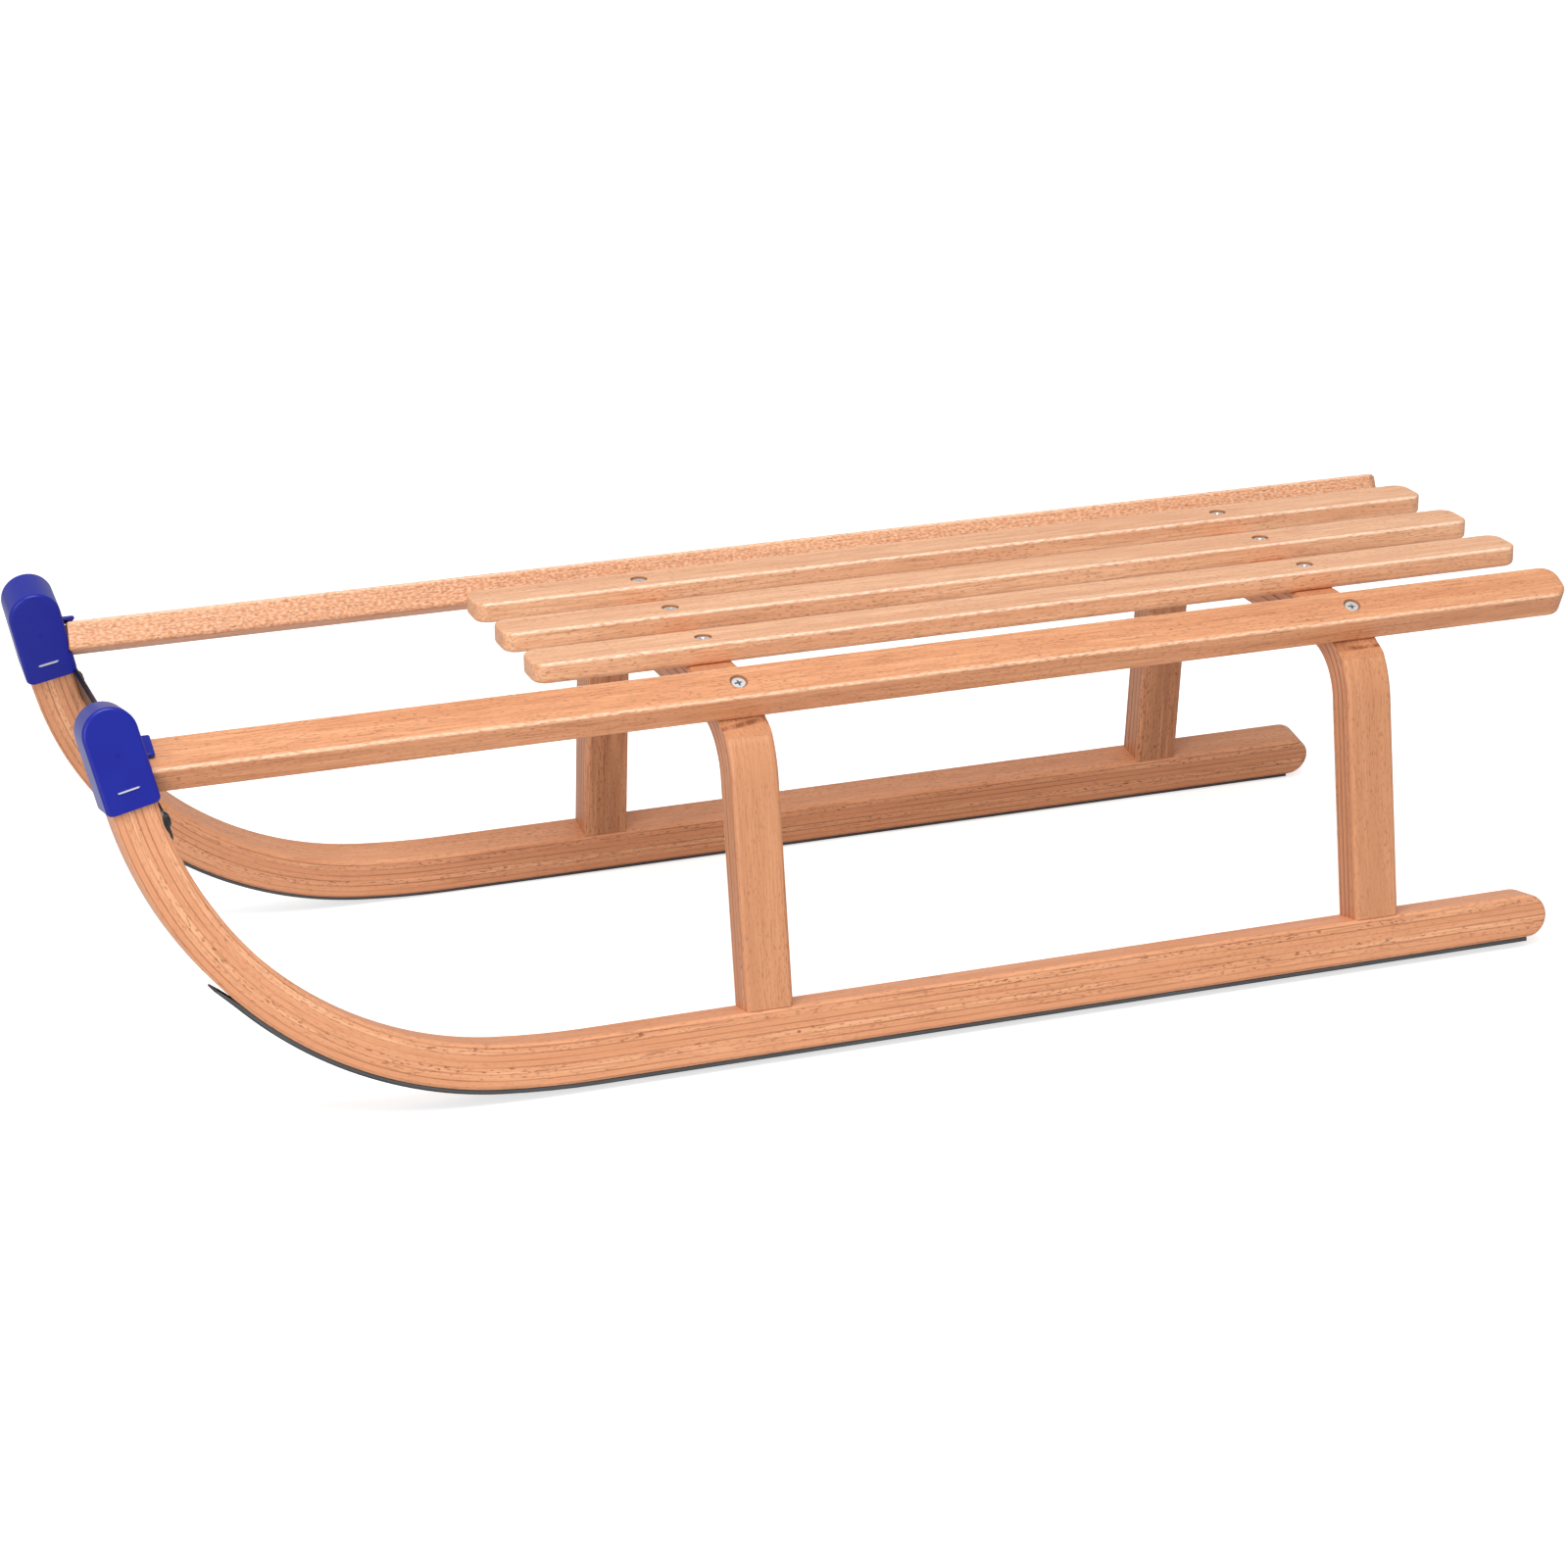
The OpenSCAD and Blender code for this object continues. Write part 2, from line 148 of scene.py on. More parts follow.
# ---------------------------------------------------------------- runners
# Each runner is one bar of beech, laminated from thin layers, steamed and bent up at the front.
# It leans inwards at its top, its rear end is round and its edges are eased by hand.

seat_h, yoke_span = 198, 342                 # mm, as all sizes below
runner_w, runner_h, runner_ease = 23, 23.2, 2.3
shoe_w, shoe_t = 20, 2.5
track_y, cant = 137.4, math.radians(11)
lead_r, lead_deg = 470, 6                    # the gentle lead into the curve
lead_a = math.radians(lead_deg)
bend_r, slope = 181, math.radians(78)        # the curve, and the slope of the tip
curve_x, runner_rear, tip_l = -262, 272, 50
shift_x = 102.99                             # puts the sled's middle on the origin
edge_support = 0.35                          # a line beside each eased edge keeps flat faces flat
bend_step = 1.5                              # degrees between a curve's points

inset = (runner_w - shoe_w) / 2
mid_a = runner_w / 2 - inset                 # middle of the runner and of the shoe, across
top_u = runner_h + shoe_t
lead_c = np.array([curve_x, top_u + lead_r])
bend_c = lead_c - (lead_r - bend_r) * np.array([math.sin(lead_a), math.cos(lead_a)])
lead_l, bend_mid_r = lead_r * lead_a, bend_r + runner_h / 2
tip_dir = np.array([-math.cos(slope), math.sin(slope)])
tip_in = np.array([-math.sin(slope), -math.cos(slope)])
tip_o = bend_c + bend_r * tip_in
tip_round = tip_l - runner_h / 2
rear_x = runner_rear - runner_h / 2


def on_side(side, x, a, u):
    """World place, in metres, of a point in a runner's own frame: along, across from the shoe's
    inner edge, and up."""
    y = track_y + a * np.cos(cant) - u * np.sin(cant)
    z = a * np.sin(cant) + u * np.cos(cant)
    return np.stack([(x + shift_x) / 1000, side * y / 1000, z / 1000], -1)


def curve_points(depth, last):
    """Points of the bent bar's side view at a depth below its top face, up to a slope."""
    at = [lead_c - (lead_r + depth) * np.array([math.sin(a), math.cos(a)])
          for a in np.radians(np.arange(0, lead_deg, bend_step))]
    steps = max(4, round(math.degrees(last - lead_a) / bend_step))
    return at + [bend_c - (bend_r + depth) * np.array([math.sin(a), math.cos(a)])
                 for a in np.linspace(lead_a, last, steps)]


def mark_points(piece, name, values):
    """Writes a vector on each of the piece's points."""
    piece.data.attributes.new(name, "FLOAT_VECTOR", "POINT").data.foreach_set(
        "vector", np.asarray(values, np.float32).ravel())


def tidy_mesh(piece, sharp=35):
    """Merges doubled points, turns the faces outwards and shades smooth, up to an angle."""
    mesh = bmesh.new()
    mesh.from_mesh(piece.data)
    bmesh.ops.remove_doubles(mesh, verts=mesh.verts, dist=2e-6)
    bmesh.ops.recalc_face_normals(mesh, faces=mesh.faces)
    for face in mesh.faces:
        face.smooth = True
    for edge in mesh.edges:
        edge.smooth = len(edge.link_faces) != 2 or edge.calc_face_angle(0) < math.radians(sharp)
    mesh.to_mesh(piece.data)
    mesh.free()
    return piece


def banded(name, upper, lower, across, place, grain=None):
    """A closed bar with eased edges. upper(d) and lower(d) are the two long lines of its outline,
    drawn in by d. across lists (position, d) from one broad face to the other. place and grain
    turn a line's point and a position into world metres and the wood's own coordinates in mm."""
    points, grains, faces = [], [], []
    n = len(upper(0))
    for line, turn in ((upper, 1), (lower, -1)):
        base = len(points)
        for w, d in across:
            for p in line(d):
                points.append(place(p, w))
                if grain:
                    grains.append(grain(p, w))
        for k in range(len(across) - 1):
            for j in range(n - 1):
                a = base + k * n + j
                faces.append((a, a + 1, a + n + 1, a + n)[::turn])
    half = len(across) * n
    for k in (0, len(across) - 1):
        for j in range(n - 1):
            a = k * n + j
            faces.append((a, a + 1, half + a + 1, half + a)[::-1 if k == 0 else 1])
    for j in (0, n - 1):
        for k in range(len(across) - 1):
            a = k * n + j
            faces.append((a, a + n, half + a + n, half + a)[::1 if j == 0 else -1])
    piece = mesh_piece(name, points, faces)
    if grain:
        mark_points(piece, "grain", grains)
    return tidy_mesh(piece)


def eased(low, high, r, steps=4, r_high=None):
    """Levels across a bar with edges rounded to r: positions, and how far it is drawn in there."""
    turn = np.linspace(0, math.pi / 2, steps + 1)
    levels = []
    for start, way, radius in ((low, 1, r), (high, -1, r_high or r)):
        edge = [(0, radius + edge_support)]
        edge += [(radius * (1 - math.cos(t)), radius * (1 - math.sin(t))) for t in turn]
        edge += [(radius + edge_support, 0)]
        levels.append([(start + way * e, d) for e, d in edge])
    return levels[0] + levels[1][::-1]


def runner_line(d, top):
    """The top or bottom line of the runner's side view, drawn in by d."""
    r = runner_h / 2
    flip = 1 if top else -1
    mid = top_u - r
    depth = d if top else runner_h - d
    quarter = np.linspace(math.pi / 2, 0, 9)
    at = [(rear_x + (r - d) * math.cos(t), mid + flip * (r - d) * math.sin(t))
          for t in quarter[::-1]]
    at += [(x, mid + flip * (r - d)) for x in np.linspace(rear_x, curve_x, 44)[1:-1]]
    at += [tuple(p) for p in curve_points(depth, slope)]
    at += [tuple(tip_o + tip_dir * step + tip_in * depth)
           for step in np.linspace(0, tip_round, 5)[1:-1]]
    centre = tip_o + tip_dir * tip_round + tip_in * r
    return at + [
        tuple(centre + tip_dir * (r - d) * math.cos(t) - flip * tip_in * (r - d) * math.sin(t))
        for t in quarter]


def along_runner(x, u):
    """The wood's own coordinates of a point in the runner's side view: length, and depth below its
    top face."""
    if x >= curve_x:
        return -(x - curve_x), top_u - u
    p = np.array([x, u])
    away = lead_c - p
    a = math.atan2(away[0], away[1])
    if a < lead_a:
        return lead_r * a, np.hypot(*away) - lead_r
    away = bend_c - p
    a = math.atan2(away[0], away[1])
    if a < slope:
        return lead_l + bend_mid_r * (a - lead_a), np.hypot(*away) - bend_r
    q = p - tip_o
    return lead_l + bend_mid_r * (slope - lead_a) + q @ tip_dir, q @ tip_in


def beech(name, light, mid, dark, pale=None, layer=0, first=0, seam=0, fleck=0.5, rings=0.3,
          sides=0, sanded_arris_highlight=None):
    """Beech, cut along its grain, sanded and clear lacquered: a pale wood with closed grain, fine
    brown rays and a satin film. Its pattern reads the wood's own coordinates in mm.
    fleck and rings are the strength of the rays and of the growth lines. layer is the thickness
    of a laminated bar's sheets (0 is solid wood), first the share of a sheet that is planed off
    the top one, and seam the strength of the glue lines. sides is how deep the inner side shows
    flat rays, and sanded_arris_highlight the width and thickness of a bar whose sanded upper edges
    carry a painted highlight; rays and edges are both pale."""
    made, tree = new_material(name)
    place = add(tree, "ShaderNodeAttribute", attribute_name="grain").outputs["Vector"]
    in_bar = add(tree, "ShaderNodeSeparateXYZ", {0: place}).outputs

    # Noises drawn out along the grain, by their cycles per mm along and across it
    noise = {}
    for part, along, over, offset, detail, rough in (
            ("bands", 0.005, 0.12, 3.1, 3.0, 0.55),
            ("slow", 0.002, 0.045, 7.7, 1.0, 0.4),
            ("breaks", 0.012, 0.3, 1.3, 2.0, 0.5),
            ("fibres", 0.03, 1.0, 5.2, 3.0, 0.6),
            ("hairs", 0.05, 1.3, 15.2, 2.0, 0.5),
            ("dashes", 0.30, 1.35, 11.9, 1.0, 0.5),
            ("drifts", 0.015, 0.10, 2.4, 2.0, 0.5)):
        scaled = add(tree, "ShaderNodeVectorMath", {0: place, 1: (along, over, over)},
                     operation="MULTIPLY")
        moved = add(tree, "ShaderNodeVectorMath",
                    {0: scaled, 1: (offset, offset * 1.7, offset * 0.6)}, operation="ADD")
        noise[part] = add(tree, "ShaderNodeTexNoise", {
            "Vector": moved, "Scale": 1.0, "Detail": detail, "Roughness": rough}).outputs[0]
    # Where a noise begins and is full, and the least and most that it then gives
    share = {}
    for part, source, low, high, least, most in (
            ("bands", "bands", 0.34, 0.68, 0.0, 0.8),
            ("line_breaks", "breaks", 0.42, 0.70, 0.0, 1.0),
            ("fibres", "fibres", 0.34, 0.66, 0.0, 0.75),
            ("hairs", "hairs", 0.52, 0.70, 0.0, 0.34),
            ("dashes", "dashes", 0.57, 0.68, 0.0, 1.0),
            ("drifts", "drifts", 0.30, 0.66, 0.3, 1.0),
            ("roughness", "fibres", 0.2, 0.8, 0.40, 0.56)):
        share[part] = add(tree, "ShaderNodeMapRange", {
            0: noise[source], 1: low, 2: high, 3: least, 4: most},
            interpolation_type="SMOOTHSTEP").outputs[0]

    # Growth lines: contours of a slow noise, 3 to 5 mm apart, that come and go
    lines = add(tree, "ShaderNodeMath", {0: noise["slow"], 1: 18.0}, operation="MULTIPLY")
    lines = add(tree, "ShaderNodeMath", {0: lines, 1: 1.0}, operation="PINGPONG")
    lines = add(tree, "ShaderNodeMapRange", {0: lines, 1: 0.13, 2: 0.0, 3: 0.0, 4: 1.0},
                interpolation_type="SMOOTHSTEP")
    lines = add(tree, "ShaderNodeMath", {0: lines, 1: share["line_breaks"]}, operation="MULTIPLY")
    lines = add(tree, "ShaderNodeMath", {0: lines, 1: rings}, operation="MULTIPLY")
    # Rays seen on their ends: brown dashes about 2 mm long and 0.5 mm wide, in drifts
    dashes = add(tree, "ShaderNodeMath", {0: share["dashes"], 1: share["drifts"]},
                 operation="MULTIPLY")
    dashes = add(tree, "ShaderNodeMath", {0: dashes, 1: fleck}, operation="MULTIPLY")
    # Each tint lies over the last: broad bands of early and late wood, about 8 mm wide and a hand
    # long, growth lines, fibres and darker hairs about a millimetre apart, and rays
    tints = [(share["bands"], mid), (lines, dark), (share["fibres"], mid), (share["hairs"], dark),
             (dashes, dark)]

    if sides:
        # Rays seen flat on the inner side: pale shiny patches 1 to 2 mm across
        on_face = add(tree, "ShaderNodeMapRange", {
            0: in_bar["Y"], 1: sides, 2: 0.3, 3: 0.0, 4: 1.0}, interpolation_type="SMOOTHSTEP")
        plates = add(tree, "ShaderNodeVectorMath", {0: place, 1: (0.42, 0.1, 1.0)},
                     operation="MULTIPLY")
        plates = add(tree, "ShaderNodeTexNoise", {"Vector": plates, "Scale": 1.0, "Detail": 2.0})
        plates = add(tree, "ShaderNodeMapRange", {0: plates, 1: 0.38, 2: 0.66, 3: 0.0, 4: 0.55},
                     interpolation_type="SMOOTHSTEP")
        plates = add(tree, "ShaderNodeMath", {0: plates, 1: on_face}, operation="MULTIPLY")
        tints.append((plates, pale))
    if sanded_arris_highlight:
        # The sanded upper edges are paler, partly from sanding and partly as a painted highlight,
        # in a broken line that fades over 0.6 to 2 mm
        half, high = sanded_arris_highlight[0] / 2, sanded_arris_highlight[1]
        off_mid = add(tree, "ShaderNodeMath", {0: in_bar["Y"], 1: half}, operation="SUBTRACT")
        off_mid = add(tree, "ShaderNodeMath", {0: off_mid}, operation="ABSOLUTE")
        edge = add(tree, "ShaderNodeMapRange", {
            0: noise["dashes"], 1: 0.62, 2: 0.42, 3: 0.35, 4: 0.85},
            interpolation_type="SMOOTHSTEP")
        for measure, end in ((off_mid, half), (in_bar["Z"], high)):
            near = add(tree, "ShaderNodeMapRange", {0: measure, 1: end - 2.0, 2: end - 0.6},
                       interpolation_type="SMOOTHSTEP")
            edge = add(tree, "ShaderNodeMath", {0: edge, 1: near}, operation="MULTIPLY")
        tints.append((edge, pale))
    if layer:
        # Laminations: each sheet has its own tint, and a thin brown glue line shows between them
        sheet = add(tree, "ShaderNodeMath", {0: in_bar["Z"], 1: 1 / layer, 2: first},
                    operation="MULTIPLY_ADD")
        number = add(tree, "ShaderNodeMath", {0: sheet}, operation="FLOOR")
        own = add(tree, "ShaderNodeTexWhiteNoise", {"W": number}, noise_dimensions="1D")
        own = add(tree, "ShaderNodeMapRange", {0: own, 3: 0.0, 4: 0.75},
                  interpolation_type="SMOOTHSTEP")
        glue = add(tree, "ShaderNodeMath", {0: sheet}, operation="FRACT")
        glue = add(tree, "ShaderNodeMath", {0: glue, 1: 0.5}, operation="PINGPONG")
        glue = add(tree, "ShaderNodeMapRange", {0: glue, 1: 0.15, 2: 0.05, 3: 0.0, 4: 1.0},
                   interpolation_type="SMOOTHSTEP")
        breaks = add(tree, "ShaderNodeMapRange", {
            0: noise["breaks"], 1: 0.34, 2: 0.62, 3: 0.3, 4: 1.0}, interpolation_type="SMOOTHSTEP")
        glue = add(tree, "ShaderNodeMath", {0: glue, 1: breaks}, operation="MULTIPLY")
        glue = add(tree, "ShaderNodeMath", {0: glue, 1: seam}, operation="MULTIPLY")
        tints += [(own, mid), (glue, dark)]

    colour = srgb(light)
    for amount, tint in tints:
        colour = add(tree, "ShaderNodeMix", {0: amount, 6: colour, 7: srgb(tint)},
                     data_type="RGBA").outputs[2]
    relief = add(tree, "ShaderNodeMath", {0: noise["fibres"], 1: dashes}, operation="SUBTRACT")
    bump = add(tree, "ShaderNodeBump", {"Height": relief, "Strength": 0.22, "Distance": 0.00012})
    shader = add(tree, "ShaderNodeBsdfPrincipled", {
        "Base Color": colour, "Roughness": share["roughness"], "Normal": bump, "IOR": 1.5,
        "Coat Weight": 0.06, "Coat Roughness": 0.25})
    add(tree, "ShaderNodeOutputMaterial", {"Surface": shader})
    return made


def dress(piece, material, stands_for):
    """Gives a piece its material, hangs it under the root body and hides the CAD part that it
    stands for.
    """
    piece.data.materials.clear()
    piece.data.materials.append(material)
    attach(piece, "root")
    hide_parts(stands_for)


# Sheets 3.3 mm thick, glued and bent: many fine lines along the runner's sides
bent_beech = beech("bent_laminated_beech_lacquered", "F6B98D", "DA956A", "74391C", layer=3.3,
                   first=0.4, seam=0.5, fleck=0.75, rings=0.6)
for side, name in ((-1, "left"), (1, "right")):
    def runner_grain(p, w):
        """The offsets give the two runners different figure."""
        length, depth = along_runner(*p)
        return length + 700 * side, w + 40 * side, depth

    runner = banded(
        "runner_wood_" + name, lambda d: runner_line(d, True), lambda d: runner_line(d, False),
        eased(-inset, runner_w - inset, runner_ease, 5),
        lambda p, w: on_side(side, p[0], w, p[1]), runner_grain)
    dress(runner, bent_beech, "runner_" + name)


# ---------------------------------------------------------------- runner shoes
# A flat strip of dark steel under each runner, bent with it and screwed on from below.
# Its front end is filed thin and stands a little off the wood.

shoe_a, shoe_screw_a = math.radians(50), math.radians(44)    # slopes of its end and front screw
shoe_ease, shoe_screw_n = 1.8, 5
shoe_screw_front, shoe_screw_rear = 20, 10                   # from the ends of the straight part
thin_l, thin_by, lift = 16, 1.3, 2.3                         # the filed end
shoe_screw_l, shoe_hole_gap = 16, 0.15
head_r, head_h, shank_r = 3.75, 2.6, 1.9
point_l, point_r = 4, 0.3                                    # a screw's point


def shoe_line(d, top):
    """The shoe's top or bottom line in side view, drawn in by d, and by much less at the top."""
    drop = 0.1 * d if top else shoe_t - d
    at = [(x, top_u - runner_h - drop) for x in np.linspace(rear_x - d, curve_x, 40)[:-1]]
    for p in curve_points(0, shoe_a):
        turn = math.atan2(bend_c[0] - p[0], bend_c[1] - p[1])
        k = max(0.0, 1 - (shoe_a - turn) * (bend_r + runner_h) / thin_l) ** 2
        if turn >= lead_a:
            out = np.array([-math.sin(turn), -math.cos(turn)])
        else:
            out = (p - lead_c) / np.hypot(*(p - lead_c))
        at.append(tuple(p + out * (runner_h + lift * k + drop * (1 - thin_by / shoe_t * k))))
    return at


def shoe_screw_places():
    """Heads of a shoe's screws and the way they face, in its side view."""
    first, last = curve_x + shoe_screw_front, rear_x - shoe_screw_rear
    at = [((first + (last - first) * i / (shoe_screw_n - 1), 0.0), (0.0, -1.0))
          for i in range(shoe_screw_n)]
    out = np.array([-math.sin(shoe_screw_a), -math.cos(shoe_screw_a)])
    return at + [(tuple(bend_c + (bend_r + top_u) * out), tuple(out))]


def direction(side, x, a, u):
    """World direction of a direction in a runner's own frame."""
    return np.array([x, side * (a * math.cos(cant) - u * math.sin(cant)),
                     a * math.sin(cant) + u * math.cos(cant)])


def lathe(name, outline, sides=32):
    """A closed solid turned round Z from (radius, height) pairs that start and end on the axis."""
    mesh = bmesh.new()
    hoops = []
    for r, z in outline:
        if r == 0:
            hoops.append([mesh.verts.new((0, 0, z / 1000))])
        else:
            hoops.append([
                mesh.verts.new((r / 1000 * math.cos(t), r / 1000 * math.sin(t), z / 1000))
                for t in np.linspace(0, 2 * math.pi, sides, endpoint=False)])
    for low, high in zip(hoops, hoops[1:]):
        for i in range(sides):
            j = (i + 1) % sides
            corners = [low[0]] if len(low) == 1 else [low[i], low[j]]
            corners += [high[0]] if len(high) == 1 else [high[j], high[i]]
            mesh.faces.new(corners)
    bmesh.ops.recalc_face_normals(mesh, faces=mesh.faces)
    made = mesh_piece(name, [])
    mesh.to_mesh(made.data)
    mesh.free()
    return made


def aim(piece, place, facing):
    """Stands a piece on a place, with its Z along a direction."""
    turn = Vector(facing).to_track_quat("Z", "Y").to_matrix().to_4x4()
    piece.matrix_world = Matrix.Translation(Vector(place)) @ turn
    bpy.context.view_layer.update()
    return piece


def settle(piece, change):
    """Makes what a modifier gives the piece's own mesh, and removes the modifier."""
    done = bpy.data.meshes.new_from_object(
        piece.evaluated_get(bpy.context.evaluated_depsgraph_get()))
    piece.modifiers.remove(change)
    old, piece.data = piece.data, done
    bpy.data.meshes.remove(old)
    return piece


def carve(piece, cutter, how="DIFFERENCE"):
    """Cuts one closed solid out of another, or joins it, and drops the cutter."""
    change = piece.modifiers.new("carve", "BOOLEAN")
    change.operation = how
    change.solver = "EXACT"
    change.object = cutter
    settle(piece, change)
    bpy.data.objects.remove(cutter)
    return piece


def screw_shank(length, gap=0.0):
    """Radius and height pairs of a countersunk screw below its head, or of its hole with a gap."""
    return [(shank_r + gap, -head_h), (shank_r + gap, -length + point_l), (point_r, -length),
            (0, -length - gap)]


# Rolled strip steel with a thin dark coat, rubbed to bare grey along its edges
strip, tree = new_material("rolled_steel_strip_blackened")
where = add(tree, "ShaderNodeAttribute", attribute_name="grain").outputs["Vector"]
drawn = add(tree, "ShaderNodeVectorMath", {0: where, 1: (0.03, 1.4, 1.4)}, operation="MULTIPLY")
streak = add(tree, "ShaderNodeTexNoise", {"Vector": drawn, "Scale": 1.0, "Detail": 3.0})
across = add(tree, "ShaderNodeSeparateXYZ", {0: where}).outputs["Y"]
off_mid = add(tree, "ShaderNodeMath", {0: across, 1: shoe_w / 2}, operation="SUBTRACT")
off_mid = add(tree, "ShaderNodeMath", {0: off_mid}, operation="ABSOLUTE")
worn = add(tree, "ShaderNodeMapRange", {
    0: off_mid, 1: shoe_w / 2 - 0.9, 2: shoe_w / 2 - 0.1, 3: 0.0, 4: 0.6})
worn = add(tree, "ShaderNodeMath", {0: worn, 1: streak}, operation="MULTIPLY")
tone = add(tree, "ShaderNodeMix", {0: worn, 6: srgb("1B1D1F"), 7: srgb("8D9195")},
           data_type="RGBA")
rough = add(tree, "ShaderNodeMapRange", {0: streak, 3: 0.36, 4: 0.6})
shader = add(tree, "ShaderNodeBsdfPrincipled", {
    "Base Color": tone.outputs[2], "Roughness": rough, "Metallic": 0.35})
add(tree, "ShaderNodeOutputMaterial", {"Surface": shader})

# The cone of the head's seat runs out of the steel, so that no face lies on its underside
hole_r = head_r + shoe_hole_gap + (head_r - shank_r) / head_h
shoe_hole = [(0, 1), (hole_r, 1)] + screw_shank(shoe_screw_l, shoe_hole_gap)
for side, name in ((-1, "left"), (1, "right")):
    def shoe_grain(p, w):
        length, depth = along_runner(*p)
        return length + 500 * side, w, depth

    shoe = banded(
        "shoe_strip_" + name, lambda d: shoe_line(d, True), lambda d: shoe_line(d, False),
        eased(0, shoe_w, shoe_ease), lambda p, w: on_side(side, p[0], w, p[1]), shoe_grain)
    for place, out in shoe_screw_places():
        carve(shoe, aim(lathe("hole", shoe_hole, 24), on_side(side, place[0], mid_a, place[1]),
                        direction(side, out[0], 0, out[1])))
    dress(tidy_mesh(shoe), strip, "runner_shoe_" + name)


# ---------------------------------------------------------------- screws
# Countersunk cross-head screws of bright zinc-plated steel. Those in the seat are sunk about
# a millimetre into their countersinks, so that a ring of bare wood shows round each head.

rail_tilt, rail_y, rail_drop = math.radians(25), 101, 1.6
rail_w, rail_t = 23.5, 15.5
slat_pitch, head_sink = 55, 1.0
slat_screw_l, rail_screw_l = 27, 26
recess_mouth, recess_foot = (-2.35, 2.35, -0.62, 0.62), (-1.0, 1.0, -0.34, 0.34)
recess_over, recess_deep, domed_point_l = 0.3, 1.9, 3
box_faces = [(0, 1, 2, 3), (7, 6, 5, 4), (0, 4, 5, 1), (1, 5, 6, 2), (2, 6, 7, 3), (3, 7, 4, 0)]


def on_rail(side, x, y, z):
    """World place of a point in a side rail's own frame, which starts at its upper inner edge."""
    out = rail_y + y * np.cos(rail_tilt) + z * np.sin(rail_tilt)
    high = seat_h - rail_drop - y * np.sin(rail_tilt) + z * np.cos(rail_tilt)
    return np.stack([(x + shift_x) / 1000, side * out / 1000, high / 1000], -1)


def prism(name, place, *ends):
    """A closed solid between two rectangles (x0, x1, y0, y1, z), put in place by a function."""
    corners = [place(x, y, z) for x0, x1, y0, y1, z in ends
               for x, y in ((x0, y0), (x1, y0), (x1, y1), (x0, y1))]
    return tidy_mesh(mesh_piece(name, corners, box_faces))


def cross_screw(name, length, dome=0):
    """One countersunk screw, or a round-headed one with a dome, with a tapered cross recess."""
    if dome:
        head = [(0, dome), (1.6, dome * 0.96), (3.0, dome * 0.78), (4.0, dome * 0.38), (4.2, 0)]
        shank = [(shank_r, 0), (shank_r, -length + domed_point_l), (point_r, -length), (0, -length)]
    else:
        head = [(0, 0), (head_r - 0.25, 0), (head_r, -0.22)]
        shank = screw_shank(length)
    screw = lathe(name, head + shank)
    for turn in (0, math.pi / 2):
        def turned(x, y, z):
            return ((x * math.cos(turn) - y * math.sin(turn)) / 1000,
                    (x * math.sin(turn) + y * math.cos(turn)) / 1000, z / 1000)

        carve(screw, prism("wedge", turned, recess_mouth + (dome + recess_over,),
                           recess_foot + (dome - recess_deep,)))
    return tidy_mesh(screw, 30)


def grown(piece, name, coat, sizes, build):
    """Runs a Geometry Nodes tree on a piece and keeps the result as its mesh. sizes has each named
    input's socket type and value. build(tree, inputs) returns the tree's last node before the
    result is made real and given its coat."""
    tree = bpy.data.node_groups.new(name, "GeometryNodeTree")
    tree.interface.new_socket("Geometry", in_out="INPUT", socket_type="NodeSocketGeometry")
    for size, (kind, value) in sizes.items():
        tree.interface.new_socket(size, in_out="INPUT", socket_type=kind)
    tree.interface.new_socket("Geometry", in_out="OUTPUT", socket_type="NodeSocketGeometry")
    real = add(tree, "GeometryNodeRealizeInstances",
               {0: build(tree, add(tree, "NodeGroupInput").outputs)})
    coated = add(tree, "GeometryNodeSetMaterial", {0: real, "Material": coat})
    add(tree, "NodeGroupOutput", {0: coated})
    change = piece.modifiers.new(name, "NODES")
    change.node_group = tree
    for item in tree.interface.items_tree:
        if item.name in sizes:
            change[item.identifier] = sizes[item.name][1]
    return settle(piece, change)


def set_screws(name, heads, shape, coat, seed):
    """A screw on each head's place, +Z the way the head faces, turned at random, as one mesh."""
    def build(tree, inputs):
        facing = add(tree, "GeometryNodeInputNamedAttribute", {"Name": "facing"},
                     data_type="FLOAT_VECTOR")
        spin = add(tree, "FunctionNodeRandomValue", {"Seed": inputs["Seed"], 3: 2 * math.pi},
                   data_type="FLOAT")
        turned = add(tree, "FunctionNodeAxisAngleToRotation",
                     {"Axis": (0, 0, 1), "Angle": spin.outputs[1]})
        aimed = add(tree, "FunctionNodeAlignRotationToVector",
                    {"Rotation": turned, "Vector": facing}, axis="Z")
        one = add(tree, "GeometryNodeObjectInfo", {"Object": inputs["Screw"]})
        return add(tree, "GeometryNodeInstanceOnPoints", {
            "Points": inputs["Geometry"], "Instance": one.outputs["Geometry"], "Rotation": aimed})

    group = mesh_piece(name, [place for place, facing in heads])
    mark_points(group, "facing", [facing for place, facing in heads])
    grown(group, "set_on_points", coat,
          {"Screw": ("NodeSocketObject", shape), "Seed": ("NodeSocketInt", seed)}, build)
    bpy.data.objects.remove(shape)
    return group


# Bright zinc plate on a pressed steel screw: pale, with a soft shine
zinc, tree = new_material("zinc_plated_steel_pressed")
speck = add(tree, "ShaderNodeTexNoise", {
    "Vector": add(tree, "ShaderNodeTexCoord").outputs["Object"], "Scale": 900.0, "Detail": 2.0})
rough = add(tree, "ShaderNodeMapRange", {0: speck, 3: 0.36, 4: 0.55})
